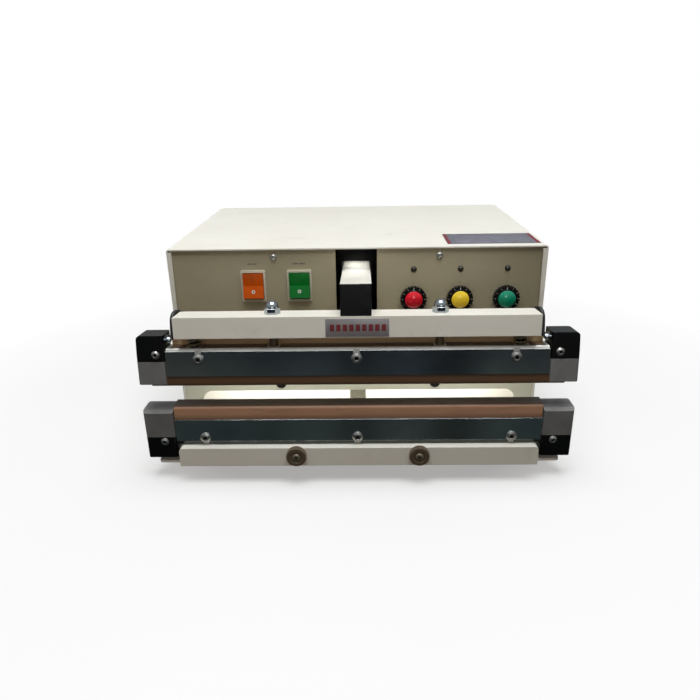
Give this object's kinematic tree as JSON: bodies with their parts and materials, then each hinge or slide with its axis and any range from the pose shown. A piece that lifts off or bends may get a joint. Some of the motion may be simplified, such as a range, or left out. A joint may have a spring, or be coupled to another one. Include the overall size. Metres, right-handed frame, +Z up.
{
  "type": "double-jaw impulse bag sealer",
  "caption": "Table-top electric impulse bag sealer: sheet-metal casing with timer controls, pivoting solenoid-pulled arm and a pair of long heated sealing jaws in front.",
  "frame": {"origin": "on the table, at the centre of the machine's footprint box with the jaws open", "axes": "+Z up, +X to the right of a person who faces the jaws, -Y towards that person"},
  "size_m": [0.418, 0.3606, 0.218],
  "materials": {
    "cream_paint": "satin powder coat",
    "rubber": "matt",
    "zinc_steel": "zinc plated",
    "black_steel": "black oxide",
    "black_plastic": "fine grain",
    "coil_wrap": "wrapped winding",
    "spring_steel": "oiled",
    "circuit_board": "solder resist",
    "red_plastic": "gloss",
    "yellow_plastic": "gloss",
    "teal_plastic": "gloss",
    "dark_lens": "clear dark lens",
    "ivory_plastic": "semi gloss",
    "orange_plastic": "gloss",
    "green_plastic": "gloss",
    "dark_brass": "darkened, knurled",
    "bronze": "oiled sintered bronze",
    "aluminium": "extruded",
    "phenolic": "laminated board",
    "silicone": "matt",
    "heating_strip": "flat nichrome strip",
    "brown_cloth": "coated glass cloth",
    "chrome_plate": "mirror",
    "grey_casting": "fine cast"
  },
  "bodies": {
    "frame": {"base_plate": "cream_paint", "front_rail": "cream_paint", "rubber_feet": "rubber", "cover_shell": "cream_paint", "front_panel": "cream_paint", "rear_panel": "cream_paint", "mid_tray": "zinc_steel", "centre_column": "cream_paint", "slot_shroud": "black_plastic", "case_screws": "zinc_steel", "rail_screws": "black_steel", "pivot_bracket": "zinc_steel", "pivot_shaft": "zinc_steel", "solenoid_frame": "zinc_steel", "solenoid_coil": "coil_wrap", "return_spring": "spring_steel", "transformer_core": "black_steel", "transformer_coil": "coil_wrap", "timer_board": "circuit_board", "potentiometers": "zinc_steel", "indicator_lamps": "dark_lens", "switch_bodies": "ivory_plastic", "mains_inlet": "black_plastic", "pedal_socket": "zinc_steel", "lower_jaw_bar": "aluminium", "lower_pad": "silicone", "lower_element": "heating_strip", "lower_cover": "brown_cloth", "lower_clamp_plates": "chrome_plate", "lower_end_blocks": "grey_casting", "lower_end_caps": "black_plastic", "lower_jaw_screws": "zinc_steel"},
    "arm": {"arm_tube": "cream_paint", "arm_end_plug": "black_plastic", "arm_bushes": "bronze", "jaw_bracket": "cream_paint", "bracket_bolts": "zinc_steel", "suspension_springs": "spring_steel"},
    "upper_jaw": {"upper_jaw_bar": "aluminium", "upper_jaw_board": "phenolic", "upper_pad": "silicone", "upper_element": "heating_strip", "upper_cover": "brown_cloth", "upper_clamp_plates": "chrome_plate", "upper_end_blocks": "grey_casting", "upper_end_caps": "black_plastic", "upper_jaw_screws": "zinc_steel", "suspension_bolts": "black_steel", "dome_nuts": "chrome_plate"},
    "plunger": {"solenoid_plunger": "zinc_steel"},
    "power_rocker": {"power_rocker": "orange_plastic"},
    "auto_rocker": {"auto_rocker": "green_plastic"},
    "seal_knob": {"seal_knob": "black_plastic", "seal_knob_cap": "red_plastic"},
    "cool_knob": {"cool_knob": "black_plastic", "cool_knob_cap": "yellow_plastic"},
    "interval_knob": {"interval_knob": "black_plastic", "interval_knob_cap": "teal_plastic"},
    "thumb_left": {"thumb_screw_left": "dark_brass"},
    "thumb_right": {"thumb_screw_right": "dark_brass"}
  },
  "joints": [
    {"name": "arm_pivot", "type": "hinge", "parent": "frame", "child": "arm", "pos_m": [0, 0.06325, 0.141], "axis": [1, 0, 0], "range_deg": [0, 5.8]},
    {"name": "jaw_float", "type": "slide", "parent": "arm", "child": "upper_jaw", "axis": [0, 0.1011, 0.9949], "range_m": [0, 0.0025], "deforming": ["suspension_springs"]},
    {"name": "plunger_slide", "type": "slide", "parent": "frame", "child": "plunger", "axis": [0, 0, -1], "range_m": [0, 0.0077], "deforming": ["return_spring"]},
    {"name": "power_rocker_tilt", "type": "hinge", "parent": "frame", "child": "power_rocker", "pos_m": [-0.106, -0.08175, 0.179], "axis": [1, 0, 0], "range_deg": [0, 12]},
    {"name": "auto_rocker_tilt", "type": "hinge", "parent": "frame", "child": "auto_rocker", "pos_m": [-0.0585, -0.08175, 0.179], "axis": [1, 0, 0], "range_deg": [0, 12]},
    {"name": "seal_knob_turn", "type": "hinge", "parent": "frame", "child": "seal_knob", "pos_m": [0.0585, -0.08675, 0.164], "axis": [0, 1, 0], "range_deg": [-150, 150]},
    {"name": "cool_knob_turn", "type": "hinge", "parent": "frame", "child": "cool_knob", "pos_m": [0.106, -0.08675, 0.164], "axis": [0, 1, 0], "range_deg": [-150, 150]},
    {"name": "interval_knob_turn", "type": "hinge", "parent": "frame", "child": "interval_knob", "pos_m": [0.1535, -0.08675, 0.164], "axis": [0, 1, 0], "range_deg": [-150, 150]},
    {"name": "thumb_left_turn", "type": "hinge", "parent": "frame", "child": "thumb_left", "pos_m": [-0.06, -0.17425, 0.0325], "axis": [0, 1, 0], "continuous": true},
    {"name": "thumb_right_turn", "type": "hinge", "parent": "frame", "child": "thumb_right", "pos_m": [0.06, -0.17425, 0.0325], "axis": [0, 1, 0], "continuous": true}
  ],
  "couplings": [
    {"joint": "plunger_slide", "follows": "arm_pivot", "m_per_rad": 0.075}
  ]
}
